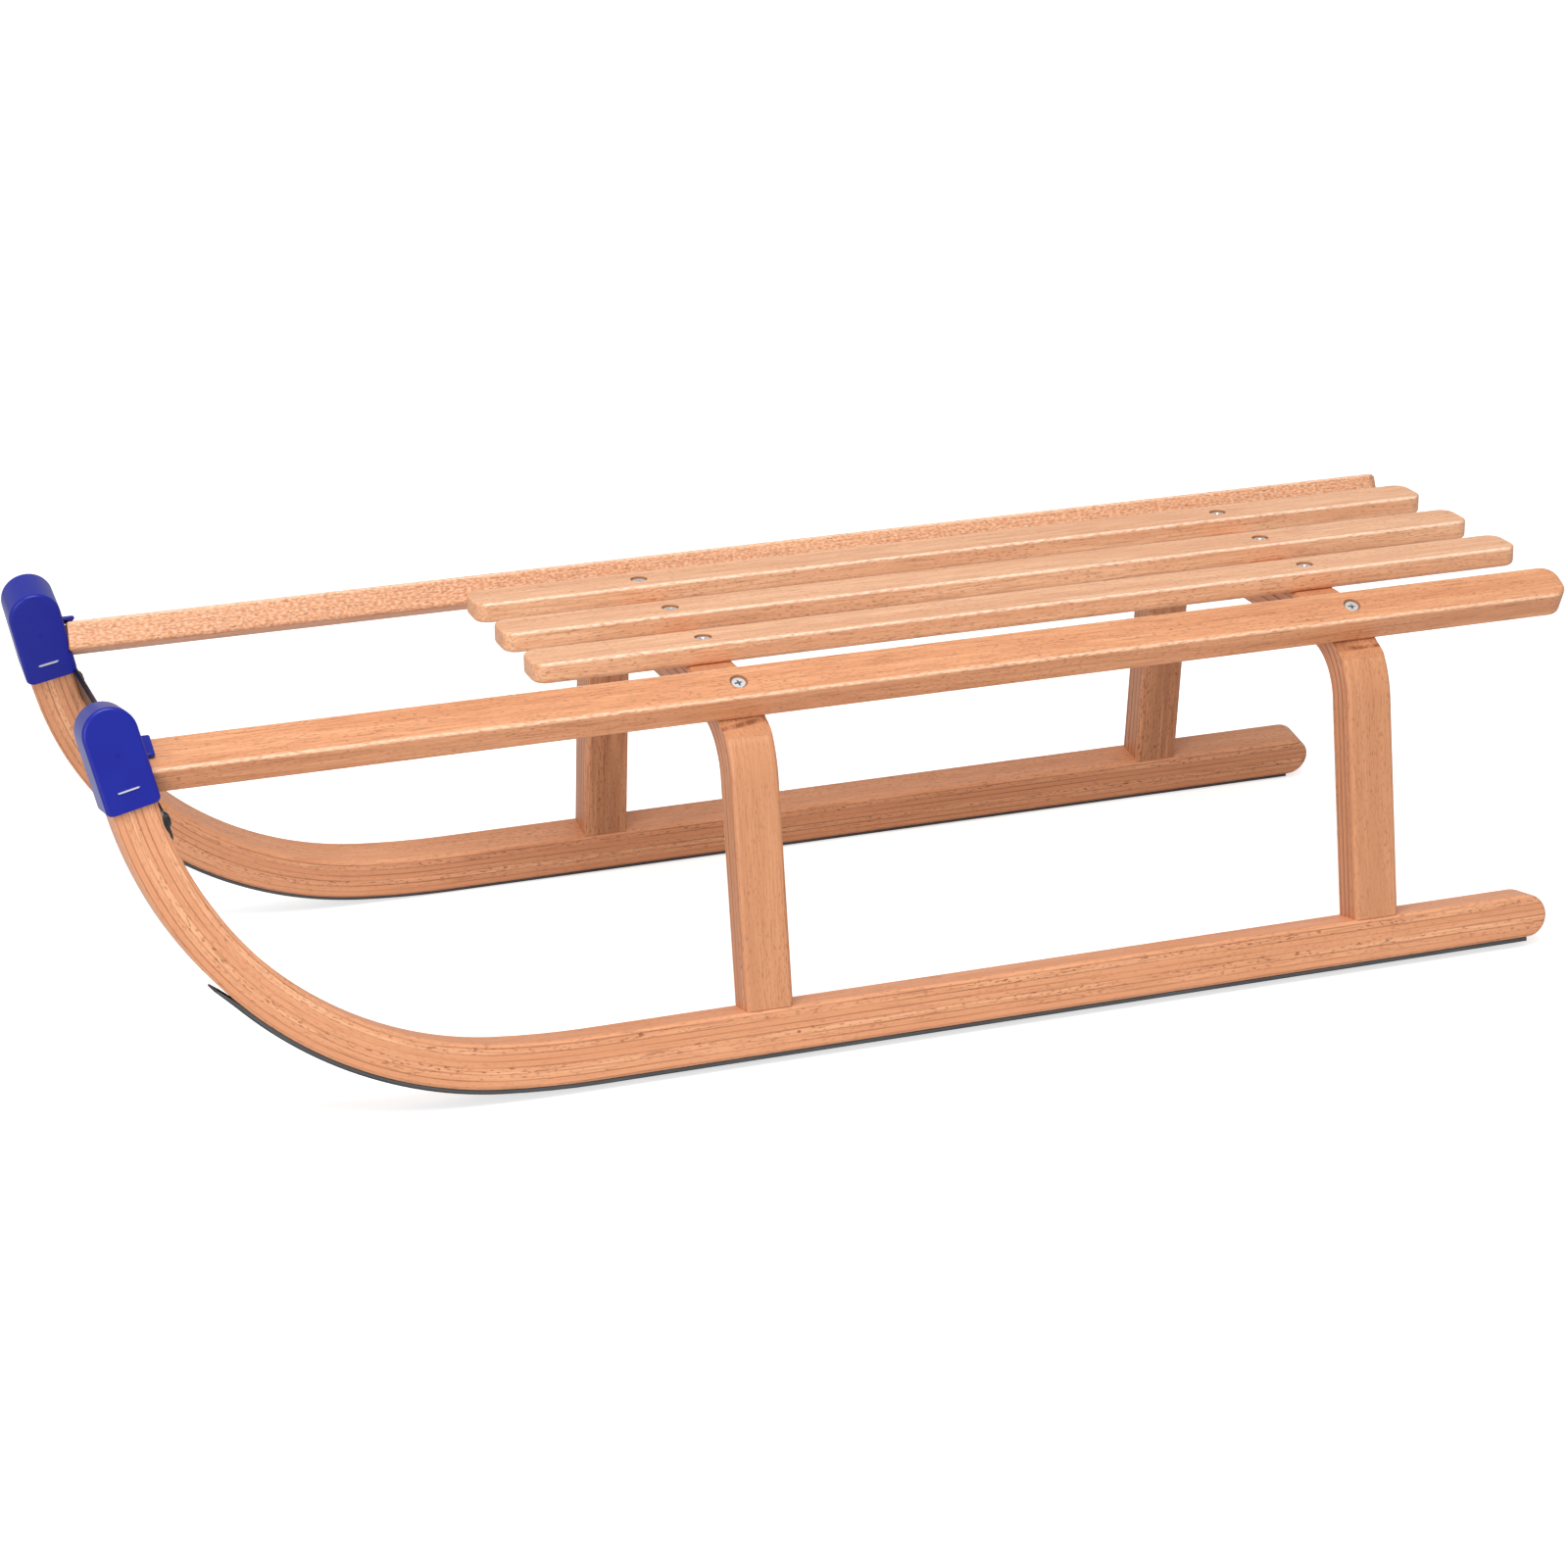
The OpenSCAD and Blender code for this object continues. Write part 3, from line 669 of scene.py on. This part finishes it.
# Painted shade: ambient occlusion darkens the screw where little light reaches, most of all in the
# cross recess
lit = add(tree, "ShaderNodeAmbientOcclusion", {"Distance": 0.0012}, samples=4)
lit = add(tree, "ShaderNodeMapRange", {0: lit.outputs["AO"], 1: 0.25, 2: 0.75})
tone = add(tree, "ShaderNodeMix", {0: lit, 6: srgb("2E2C2A"), 7: srgb("F0F1F2")},
           data_type="RGBA")
shader = add(tree, "ShaderNodeBsdfPrincipled", {
    "Base Color": tone.outputs[2], "Roughness": rough, "Metallic": 1.0})
add(tree, "ShaderNodeOutputMaterial", {"Surface": shader})

yoke_places = (-yoke_span / 2, yoke_span / 2)
slat_heads = [(((x + shift_x) / 1000, y / 1000, (seat_h - head_sink) / 1000), (0, 0, 1))
              for x in yoke_places for y in (-slat_pitch, 0, slat_pitch)]
rail_heads = [(on_rail(side, x, rail_w / 2, -head_sink),
               (0, side * math.sin(rail_tilt), math.cos(rail_tilt)))
              for x in yoke_places for side in (-1, 1)]
shoe_heads = {side: [(on_side(side, place[0], mid_a, place[1]), direction(side, out[0], 0, out[1]))
                     for place, out in shoe_screw_places()] for side in (-1, 1)}
for name, heads, length, seed in (
        ("slat_screws", slat_heads, slat_screw_l, 4),
        ("rail_screws", rail_heads, rail_screw_l, 9),
        ("shoe_screws_left", shoe_heads[-1], shoe_screw_l, 2),
        ("shoe_screws_right", shoe_heads[1], shoe_screw_l, 6)):
    group = set_screws(name + "_cross_headed", heads, cross_screw("one_screw", length), zinc, seed)
    dress(group, zinc, name)
for name in ("leg_screws_left", "leg_screws_right", "tip_screws"):
    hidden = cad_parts[name]
    hidden.data.materials.clear()
    hidden.data.materials.append(zinc)


# ---------------------------------------------------------------- yokes
# A yoke is a wide U of bent, laminated beech that stands on both runners and carries the seat.
# Its shoulders are planed flat where the tilted side rails lie on them.

yoke_w, yoke_t, yoke_ease = 25, 21.5, 2.4
corner_r, splay = 26.5, math.radians(8)
slat_t = 11
planed_half, planed_out, planed_up = 40, 80, 60              # the block that planes a shoulder

yoke_top = seat_h - slat_t
outer_r = corner_r + yoke_t
foot = np.array([track_y + mid_a * math.cos(cant) - top_u * math.sin(cant),
                 mid_a * math.sin(cant) + top_u * math.cos(cant)])
leg_n = np.array([math.cos(splay), math.sin(splay)])
leg_down = np.array([math.sin(splay), -math.cos(splay)])
corner_z = yoke_top - outer_r
corner_y = (foot @ leg_n + yoke_t / 2 - outer_r - corner_z * leg_n[1]) / leg_n[0]
corner = np.array([corner_y, corner_z])
corner_l = (corner_r + yoke_t / 2) * (math.pi / 2 - splay)
runner_top_n = np.array([-math.sin(cant), math.cos(cant)])
top_level = np.array([track_y, 0]) @ runner_top_n + top_u


def yoke_line(d, outer):
    """The yoke's outer or inner line in front view, from foot to foot, drawn in by d."""
    r = outer_r - d if outer else corner_r + d
    start = corner + leg_n * r
    reach = (start @ runner_top_n - top_level) / -(leg_down @ runner_top_n)
    half = [tuple(start + leg_down * reach * s) for s in np.linspace(1, 0, 14)[:-1]]
    half += [tuple(corner + r * np.array([math.cos(t), math.sin(t)]))
             for t in np.linspace(splay, math.pi / 2, 22)]
    half += [(y, corner_z + r) for y in np.linspace(corner_y, 0, 9)[1:]]
    return half + [(-y, z) for y, z in half[-2::-1]]


def along_yoke(y, z):
    """The wood's own coordinates of a point in the yoke's front view: length from the middle, and
    depth."""
    flip, p = (1 if y >= 0 else -1), np.array([abs(y), z])
    q = p - corner
    turn = math.atan2(q[1], q[0])
    if abs(y) <= corner_y:
        return y, yoke_top - z
    if turn > splay:
        part = (math.pi / 2 - turn) / (math.pi / 2 - splay)
        return flip * (corner_y + corner_l * part), outer_r - np.hypot(*q)
    return flip * (corner_y + corner_l + q @ leg_down), outer_r - q @ leg_n


# Thicker sheets than the runners' and a plain outer face: the glue lines show on the sides only
yoke_beech = beech("bent_laminated_beech_yoke", "E3A479", "CB8A60", "763F20", layer=4.6,
                   first=0.22, seam=0.8, fleck=0.7, rings=0.12)
for name, x in zip(("front", "rear"), yoke_places):
    yoke = banded(
        "yoke_wood_" + name, lambda d: yoke_line(d, True), lambda d: yoke_line(d, False),
        eased(-yoke_w / 2, yoke_w / 2, yoke_ease, 5),
        lambda p, w: ((x + w + shift_x) / 1000, p[0] / 1000, p[1] / 1000))
    for side in (-1, 1):
        plane = (x - planed_half, x + planed_half, -1, planed_out)
        carve(yoke, prism("block", lambda *p: on_rail(side, *p), plane + (-rail_t,),
                          plane + (planed_up,)))
    tidy_mesh(yoke)
    grains = []
    for vertex in yoke.data.vertices:
        px, py, pz = vertex.co * 1000
        length, depth = along_yoke(py, pz)
        grains.append((length + x * 3, px - shift_x - x + 60, depth))
    mark_points(yoke, "grain", grains)
    dress(yoke, yoke_beech, "yoke_" + name)


# ---------------------------------------------------------------- seat slats
# Three flat slats of solid beech along the seat, with rounded ends and eased edges,
# each screwed down once on each yoke.

slat_w, slat_front, slat_rear = 27, 265, 294
slat_corner_r, slat_ease, slat_ease_top = 8, 2.4, 1.3
corner_room = 10                             # of a bar's length, past its round corners
bore_gap, bore_r, mouth_r = 0.12, 4.4, 5.1
mouth_over, mouth_deep = 0.4, 0.35           # the bevelled mouth, from the wood's surface


def bar_line(x0, x1, y0, y1, front_r, rear_r, d, high):
    """The far or near long line of a bar's plan outline, with round corners, drawn in by d."""
    mid, half = (y0 + y1) / 2, (y1 - y0) / 2 - d
    flip = 1 if high else -1
    at = []
    r = max(front_r - d, 0.2)
    for t in np.linspace(math.pi, math.pi / 2, 8):
        at.append((x0 + d + r + r * math.cos(t), mid + flip * (half - r + r * math.sin(t))))
    at += [(x, mid + flip * half) for x in np.linspace(x0 + corner_room, x1 - corner_room, 42)]
    r = max(rear_r - d, 0.2)
    for t in np.linspace(math.pi / 2, 0, 8):
        at.append((x1 - d - r + r * math.cos(t), mid + flip * (half - r + r * math.sin(t))))
    return at


def bore(piece, heads, length):
    """Bores each screw head's countersunk hole, with a bevelled mouth that runs out of the wood."""
    for place, facing in heads:
        hole = [(0, head_sink + mouth_over), (mouth_r, head_sink + mouth_over),
                (bore_r, head_sink - mouth_deep), (bore_r, 0), (head_r + bore_gap, 0)]
        hole += screw_shank(length, bore_gap)
        carve(piece, aim(lathe("hole", hole), place, facing))
    return tidy_mesh(piece)


# Where the countersink was cut the wood shows brown, rough end grain, painted darker still as
# painted shade inside the hole
bored_grain_and_shade, tree = new_material("beech_bored_end_grain_and_painted_shade")
speck = add(tree, "ShaderNodeTexNoise", {
    "Vector": add(tree, "ShaderNodeTexCoord").outputs["Object"], "Scale": 1500.0, "Detail": 2.0})
tone = add(tree, "ShaderNodeMix", {0: speck, 6: srgb("8A5A3A"), 7: srgb("BC8560")},
           data_type="RGBA")
shader = add(tree, "ShaderNodeBsdfPrincipled", {"Base Color": tone.outputs[2], "Roughness": 0.7})
add(tree, "ShaderNodeOutputMaterial", {"Surface": shader})


def mark_bores(piece, heads):
    """Gives the faces inside the screw holes the bored wood's material: darker end grain with
    painted shade.
    """
    piece.data.materials.append(bored_grain_and_shade)
    for place, facing in heads:
        place, facing = Vector(place), Vector(facing)
        for face in piece.data.polygons:
            away = face.center - place
            height = away @ facing
            off_axis = (away - facing * height).length
            if height < head_sink / 1000 - 2e-5 and off_axis < (bore_r + 0.5) / 1000:
                face.material_index = 1


# Sawn from the plank and planed: paler than the bent pieces, with a painted highlight along its
# sanded upper edges
slat_beech = beech("sawn_beech_slat_lacquered", "F9C59B", "E3A47A", "8E5530", "FFE2C8", fleck=0.5,
                   rings=0.3, sanded_arris_highlight=(slat_w, slat_t))
for index, (name, y) in enumerate((("left", -slat_pitch), ("centre", 0), ("right", slat_pitch))):
    def slat_line(d, high):
        return bar_line(-slat_front, slat_rear, y - slat_w / 2, y + slat_w / 2, slat_corner_r,
                        slat_corner_r, d, high)

    slat = banded(
        "slat_wood_" + name, lambda d: slat_line(d, True), lambda d: slat_line(d, False),
        eased(yoke_top, seat_h, slat_ease, 4, slat_ease_top),
        lambda p, w: ((p[0] + shift_x) / 1000, p[1] / 1000, w / 1000))
    bore(slat, slat_heads[index::3], slat_screw_l)
    mark_points(slat, "grain", [(v.co.x * 1000 + 1300 * index, v.co.y * 1000 - y + slat_w / 2,
                                 v.co.z * 1000 - yoke_top) for v in slat.data.vertices])
    dress(slat, slat_beech, "seat_slat_" + name)
    mark_bores(slat, slat_heads)


# ---------------------------------------------------------------- side rails
# A thicker bar of solid beech on each side, tilted outwards so that hands can grip it.
# It is screwed to both shoulders of the yokes and to the runner's tip, inside the cap.

rail_front, rail_end = -471.8, 296
rail_front_r, rail_rear_r, rail_ease, rail_ease_top = 1, 9, 2.0, 2.2


def rail_line(d, high):
    return bar_line(rail_front, rail_end, 0, rail_w, rail_front_r, rail_rear_r, d, high)


# Sawn from redder wood than the slats, with the flat rays showing on its inner side and a painted
# highlight along its sanded upper edges
rail_beech = beech("sawn_beech_rail_lacquered", "E9A87B", "D28C60", "7E4524", "FFD9B8", fleck=0.55,
                   rings=0.45, sides=1.8, sanded_arris_highlight=(rail_w, rail_t))
for side, name in ((-1, "left"), (1, "right")):
    rail = banded(
        "rail_wood_" + name, lambda d: rail_line(d, True), lambda d: rail_line(d, False),
        eased(-rail_t, 0, rail_ease, 5, rail_ease_top),
        lambda p, w: on_rail(side, p[0], p[1], w))
    bore(rail, rail_heads[(side + 1) // 2::2], rail_screw_l)
    grains = []
    for vertex in rail.data.vertices:
        px, py, pz = vertex.co * 1000
        out, high = side * py - rail_y, pz - (seat_h - rail_drop)
        grains.append((px + 900 * side, out * math.cos(rail_tilt) - high * math.sin(rail_tilt),
                       out * math.sin(rail_tilt) + high * math.cos(rail_tilt) + rail_t))
    mark_points(rail, "grain", grains)
    dress(rail, rail_beech, "side_rail_" + name)
    mark_bores(rail, rail_heads)


# ---------------------------------------------------------------- tip caps
# Blue moulded caps are pushed over the runner tips and hold the rails' front ends.
# A small lug on each lies over the rail, and a staple through each broad face holds the cap.

cap_l, cap_wall, cap_gap = 51, 1.8, 0.3
cap_ease, cap_corner_r, hollow_ease, hollow_past = 1.9, 2.6, 0.5, 3
rim_room = 4                                                 # of its length, past the round rim
lug_reach, lug_l, lug_w, lug_t, lug_in, lug_ease = 5, 16, 15, 2.6, 0.4, 1.2
lug_short = 1                                                # its rear end stands back by this
gate_up = 27                                                 # middle of the broad face
gate_outline = [(0, 0.4), (1.1, 0.4), (0.95, 0), (0.8, -0.35), (0, -0.35)]

cap_x0 = tip_l + cap_wall - cap_l
cap_r = runner_h / 2 + cap_wall + cap_gap
cap_low, cap_high = -inset - cap_gap - cap_wall, runner_w - inset + cap_gap + cap_wall
lug_back = tip_o[0] + lug_reach - cap_wall - lug_short

# Injection-moulded polyethylene: even deep blue with a waxy, slightly uneven shine
cap_blue, tree = new_material("polyethylene_moulded_blue")
where = add(tree, "ShaderNodeTexCoord").outputs["Object"]
wave = add(tree, "ShaderNodeTexNoise", {"Vector": where, "Scale": 55.0, "Detail": 2.0})
fine = add(tree, "ShaderNodeTexNoise", {"Vector": where, "Scale": 1400.0, "Detail": 2.0})
tone = add(tree, "ShaderNodeMix", {0: wave, 6: srgb("101B8C"), 7: srgb("162296")},
           data_type="RGBA")
rough = add(tree, "ShaderNodeMapRange", {0: wave, 3: 0.26, 4: 0.34})
bump = add(tree, "ShaderNodeBump", {"Height": fine, "Strength": 0.12, "Distance": 0.00008})
shader = add(tree, "ShaderNodeBsdfPrincipled", {
    "Base Color": tone.outputs[2], "Roughness": rough, "Normal": bump, "IOR": 1.4})
add(tree, "ShaderNodeOutputMaterial", {"Surface": shader})


def on_tip(x, z):
    """Side view place of a point in the tip's frame: x up the tip, z forwards from its rear."""
    return tip_o + tip_dir * x + tip_in * z


def cap_solid(name, side, wall, ease):
    """The cap's outer solid, or with a wall the hollow inside it, which runs out at the bottom."""
    low_x, r_max, c = (cap_x0 - hollow_past if wall else cap_x0), cap_r - wall, cap_corner_r

    def line(d, flip):
        r = r_max - d
        at = [(low_x + c * (1 - math.cos(t)), r - c + c * math.sin(t))
              for t in np.linspace(0, math.pi / 2, 6)]
        at += [(x, r) for x in np.linspace(low_x + rim_room, tip_round, 7)[:-1]]
        at += [(tip_round + r * math.cos(t), r * math.sin(t))
               for t in np.linspace(math.pi / 2, 0, 16)]
        return [tuple(on_tip(x, runner_h / 2 + flip * z)) for x, z in at]

    return banded(name, lambda d: line(d, -1), lambda d: line(d, 1),
                  eased(cap_low + wall, cap_high - wall, ease),
                  lambda p, w: on_side(side, p[0], w, p[1]))


for side, name in ((-1, "left"), (1, "right")):
    cap = carve(cap_solid("cap_shell_" + name, side, 0, cap_ease),
                cap_solid("hollow", side, cap_wall, hollow_ease))
    # The mould's gate leaves a small dimple in the middle of each broad face
    for face, way in ((cap_low, -1), (cap_high, 1)):
        at = on_tip(cap_x0 + gate_up, runner_h / 2)
        carve(cap, aim(lathe("gate", gate_outline, 20), on_side(side, at[0], face, at[1]),
                       direction(side, 0, way, 0)))
    plate = (lug_back - lug_l, lug_back, lug_in, lug_w)
    lug = prism("lug", lambda *p: on_rail(side, *p), plate + (cap_gap,),
                plate + (cap_gap + lug_t,))
    soften = lug.modifiers.new("soft", "BEVEL")
    soften.width, soften.segments = lug_ease / 1000, 3
    carve(cap, settle(lug, soften), "UNION")
    # The notch that the rail's end lies in
    plate = (rail_front - cap_gap, 0, -cap_gap, rail_w + cap_gap)
    carve(cap, prism("block", lambda *p: on_rail(side, *p), plate + (-rail_t - cap_gap,),
                     plate + (cap_gap,)))
    dress(tidy_mesh(cap, 40), cap_blue, "tip_cap_" + name)


# ---------------------------------------------------------------- cap staples
# One wire staple is shot through each broad face of a cap into the runner's tip.
# Its flat crown lies on the plastic, level with the ground.

crown, crown_sunk, staple_leg, staple_up = 10.6, 0.1, 7.0, 10
wire_w, wire_t, wire_bend = 1.0, 0.7, 0.7


def wire(tree, inputs):
    """A line of edges becomes a flat wire with eased corners."""
    line = add(tree, "GeometryNodeMeshToCurve", {0: inputs["Geometry"]})
    bent = add(tree, "GeometryNodeFilletCurve", {0: line, "Radius": wire_bend / 1000})
    section = add(tree, "GeometryNodeCurvePrimitiveQuadrilateral", {
        "Width": inputs["Wire width"], "Height": inputs["Wire thickness"]})
    return add(tree, "GeometryNodeCurveToMesh", {0: bent, 1: section, "Fill Caps": True})


for side, name in ((-1, "left"), (1, "right")):
    for where, face, inward in (("inner", cap_low, 1), ("outer", cap_high, -1)):
        bends = []
        for z, a in ((-crown / 2, staple_leg), (-crown / 2, crown_sunk - wire_t / 2),
                     (crown / 2, crown_sunk - wire_t / 2), (crown / 2, staple_leg)):
            spot = on_tip(cap_x0 + staple_up, runner_h / 2 + z)
            bends.append(on_side(side, spot[0], face + inward * a, spot[1]))
        staple = mesh_piece("staple_%s_%s" % (where, name), bends, edges=[(0, 1), (1, 2), (2, 3)])
        grown(staple, "bent_wire", zinc, {
            "Wire width": ("NodeSocketFloat", wire_w / 1000),
            "Wire thickness": ("NodeSocketFloat", wire_t / 1000)}, wire)
        dress(tidy_mesh(staple), zinc, "cap_staples_" + name)


# ---------------------------------------------------------------- front bow
# A flat steel bar with rounded ends, painted black, joins both runners just below the caps.
# It lies in shallow seats on the runners' rear faces and is held by one screw at each end.

bow_w, bow_t, bow_ease, bow_seat, bow_drop = 20, 3, 0.8, 1, 12
bow_screw_l, bow_dome = 18, 2.3
bow_a = slope - (bow_drop - cap_x0) / bend_r
bow_tilt = math.atan2(math.sin(bow_a), math.cos(bow_a) * math.cos(cant))
bow_at = bend_c - bend_r * np.array([math.sin(bow_a), math.cos(bow_a)])


def runner_yz(a, u):
    """Front view place of a point in the runner's own frame."""
    return (track_y + a * math.cos(cant) - u * math.sin(cant),
            a * math.sin(cant) + u * math.cos(cant))


bow_end_y = runner_yz(runner_w - inset, bow_at[1])[0] - bow_w / 2
bow_mid_y, bow_z = runner_yz(mid_a, bow_at[1])
bow_turn = Matrix.Rotation(math.pi + bow_tilt, 4, "Y")
bow_o = Vector((bow_at[0] + shift_x - bow_seat * math.sin(bow_tilt), 0,
                bow_z - bow_seat * math.cos(bow_tilt)))


def on_bow(x, y, z):
    """World place of a point in the bow's frame: x up its width, y along it, z out of its front."""
    return (bow_turn @ Vector((x, y, z)) + bow_o) / 1000


def bow_line(d, high):
    """The upper or lower line of the bow's outline, drawn in by d."""
    flip = 1 if high else -1
    r = bow_w / 2 - d
    quarter = np.linspace(0, math.pi / 2, 10)
    at = [(-bow_end_y - r * math.cos(t), flip * r * math.sin(t)) for t in quarter]
    at += [(y, flip * r) for y in np.linspace(-bow_end_y, bow_end_y, 12)[1:-1]]
    return at + [(bow_end_y + r * math.cos(t), flip * r * math.sin(t)) for t in quarter[::-1]]


# Sprayed black enamel on a steel bar: deep and smooth, with a faint orange peel
black_paint, tree = new_material("black_enamel_on_steel_bar")
peel = add(tree, "ShaderNodeTexNoise", {
    "Vector": add(tree, "ShaderNodeTexCoord").outputs["Object"], "Scale": 420.0, "Detail": 2.0})
bump = add(tree, "ShaderNodeBump", {"Height": peel, "Strength": 0.15, "Distance": 0.0002})
rough = add(tree, "ShaderNodeMapRange", {0: peel, 3: 0.26, 4: 0.42})
shader = add(tree, "ShaderNodeBsdfPrincipled", {
    "Base Color": srgb("17181A"), "Roughness": rough, "Normal": bump, "IOR": 1.5})
add(tree, "ShaderNodeOutputMaterial", {"Surface": shader})

bow = banded("bow_bar", lambda d: bow_line(d, True), lambda d: bow_line(d, False),
             eased(-bow_t, 0, bow_ease, 3), lambda p, w: on_bow(p[1], p[0], w))
dress(bow, black_paint, "front_bow")
back = bow_turn.to_3x3() @ Vector((0, 0, -1))
pans = set_screws("bow_screws_round_headed",
                  [(on_bow(0, y, -bow_t), back) for y in (-bow_mid_y, bow_mid_y)],
                  cross_screw("one_pan_screw", bow_screw_l, bow_dome), black_paint, 3)
dress(pans, black_paint, "bow_screws")
